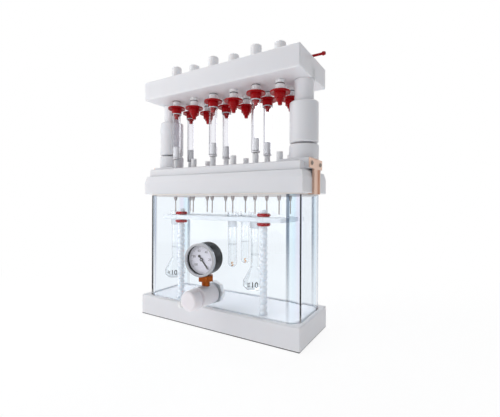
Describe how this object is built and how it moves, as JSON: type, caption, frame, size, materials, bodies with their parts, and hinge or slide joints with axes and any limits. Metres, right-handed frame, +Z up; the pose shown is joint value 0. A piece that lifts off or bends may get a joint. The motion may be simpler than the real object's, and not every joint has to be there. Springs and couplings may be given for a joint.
{
  "type": "spe vacuum manifold",
  "caption": "Glass-chamber vacuum manifold for solid phase extraction, with cartridges loaded under a drying attachment with red stepped adapters and a gauge valve.",
  "frame": {"origin": "middle of the base block's underside", "axes": "+Z up, -Y to the front with gauge and valve, +X to the right seen from the front, where the gas inlet points"},
  "size_m": [0.2555, 0.127, 0.3537],
  "materials": {
    "white_polymer": "satin machined white polymer",
    "red_polymer": "glossy deep red",
    "beige_silicone": "matt beige silicone",
    "clear_glass": "clear",
    "clear_polypropylene": "milky translucent",
    "white_frit": "porous white",
    "sorbent": "packed fine powder",
    "stainless_steel": "bright",
    "dark_steel": "blackened",
    "black_enamel": "glossy black",
    "dial_face": "matt printed",
    "chrome_bezel": "polished",
    "brass_socket": "bright turned brass"
  },
  "bodies": {
    "manifold": {"base_block": "white_polymer", "base_seal": "beige_silicone", "glass_chamber": "clear_glass", "lid_seal": "beige_silicone", "chamber_lid": "white_polymer", "attachment_foot": "white_polymer", "retaining_clips": "stainless_steel", "clip_screws": "dark_steel", "socket_sleeves": "white_polymer", "luer_ports": "white_polymer", "needles": "stainless_steel", "cartridge_barrels_front": "clear_polypropylene", "cartridge_barrels_back": "clear_polypropylene", "frits": "white_frit", "sorbent_beds": "sorbent", "rack_plate": "white_polymer", "rack_posts": "white_polymer", "rack_rings": "red_polymer", "flask_left": "clear_glass", "flask_right": "clear_glass", "collection_tubes": "clear_glass", "valve_body": "white_polymer", "valve_nut": "white_polymer", "hose_nipple": "white_polymer", "gauge_case": "black_enamel", "gauge_dial": "dial_face", "gauge_lens": "clear_glass", "gauge_bezel": "chrome_bezel", "gauge_socket": "brass_socket"},
    "drying_head": {"top_plate": "white_polymer", "guide_rods": "white_polymer", "spacer_sleeves": "white_polymer", "guide_pins": "dark_steel", "gas_inlet": "red_polymer"},
    "bleed_knob": {"bleed_knob": "white_polymer"},
    "gauge_pointer": {"gauge_pointer": "black_enamel"},
    "port_front_1": {"port_stem_front_1": "white_polymer", "port_adapter_front_1": "red_polymer"},
    "port_front_2": {"port_stem_front_2": "white_polymer", "port_adapter_front_2": "red_polymer"},
    "port_front_3": {"port_stem_front_3": "white_polymer", "port_adapter_front_3": "red_polymer"},
    "port_front_4": {"port_stem_front_4": "white_polymer", "port_adapter_front_4": "red_polymer"},
    "port_front_5": {"port_stem_front_5": "white_polymer", "port_adapter_front_5": "red_polymer"},
    "port_front_6": {"port_stem_front_6": "white_polymer", "port_adapter_front_6": "red_polymer"},
    "port_back_1": {"port_stem_back_1": "white_polymer", "port_adapter_back_1": "red_polymer"},
    "port_back_2": {"port_stem_back_2": "white_polymer", "port_adapter_back_2": "red_polymer"},
    "port_back_3": {"port_stem_back_3": "white_polymer", "port_adapter_back_3": "red_polymer"},
    "port_back_4": {"port_stem_back_4": "white_polymer", "port_adapter_back_4": "red_polymer"},
    "port_back_5": {"port_stem_back_5": "white_polymer", "port_adapter_back_5": "red_polymer"},
    "port_back_6": {"port_stem_back_6": "white_polymer", "port_adapter_back_6": "red_polymer"}
  },
  "joints": [
    {"name": "head_lift", "type": "slide", "parent": "manifold", "child": "drying_head", "axis": [0, 0, 1], "range_m": [0, 0.028]},
    {"name": "bleed_knob_turn", "type": "hinge", "parent": "manifold", "child": "bleed_knob", "pos_m": [0, -0.0745, 0.0455], "axis": [0, -1, 0], "range_deg": [0, 360]},
    {"name": "gauge_pointer_turn", "type": "hinge", "parent": "manifold", "child": "gauge_pointer", "pos_m": [0, -0.05, 0.0906], "axis": [0.1564, -0.9877, 0], "range_deg": [0, 270], "stiffness_Nm_per_rad": 0.001},
    {"name": "port_front_1_lift", "type": "slide", "parent": "drying_head", "child": "port_front_1", "axis": [0, 0, 1], "range_m": [0, 0.0073]},
    {"name": "port_front_2_lift", "type": "slide", "parent": "drying_head", "child": "port_front_2", "axis": [0, 0, 1], "range_m": [0, 0.0115]},
    {"name": "port_front_3_lift", "type": "slide", "parent": "drying_head", "child": "port_front_3", "axis": [0, 0, 1], "range_m": [0, 0.0073]},
    {"name": "port_front_4_lift", "type": "slide", "parent": "drying_head", "child": "port_front_4", "axis": [0, 0, 1], "range_m": [0, 0.0115]},
    {"name": "port_front_5_lift", "type": "slide", "parent": "drying_head", "child": "port_front_5", "axis": [0, 0, 1], "range_m": [0, 0.0073]},
    {"name": "port_front_6_lift", "type": "slide", "parent": "drying_head", "child": "port_front_6", "axis": [0, 0, 1], "range_m": [0, 0.0115]},
    {"name": "port_back_1_lift", "type": "slide", "parent": "drying_head", "child": "port_back_1", "axis": [0, 0, 1], "range_m": [0, 0.0073]},
    {"name": "port_back_2_lift", "type": "slide", "parent": "drying_head", "child": "port_back_2", "axis": [0, 0, 1], "range_m": [0, 0.0115]},
    {"name": "port_back_3_lift", "type": "slide", "parent": "drying_head", "child": "port_back_3", "axis": [0, 0, 1], "range_m": [0, 0.0073]},
    {"name": "port_back_4_lift", "type": "slide", "parent": "drying_head", "child": "port_back_4", "axis": [0, 0, 1], "range_m": [0, 0.0115]},
    {"name": "port_back_5_lift", "type": "slide", "parent": "drying_head", "child": "port_back_5", "axis": [0, 0, 1], "range_m": [0, 0.0073]},
    {"name": "port_back_6_lift", "type": "slide", "parent": "drying_head", "child": "port_back_6", "axis": [0, 0, 1], "range_m": [0, 0.0115]}
  ]
}
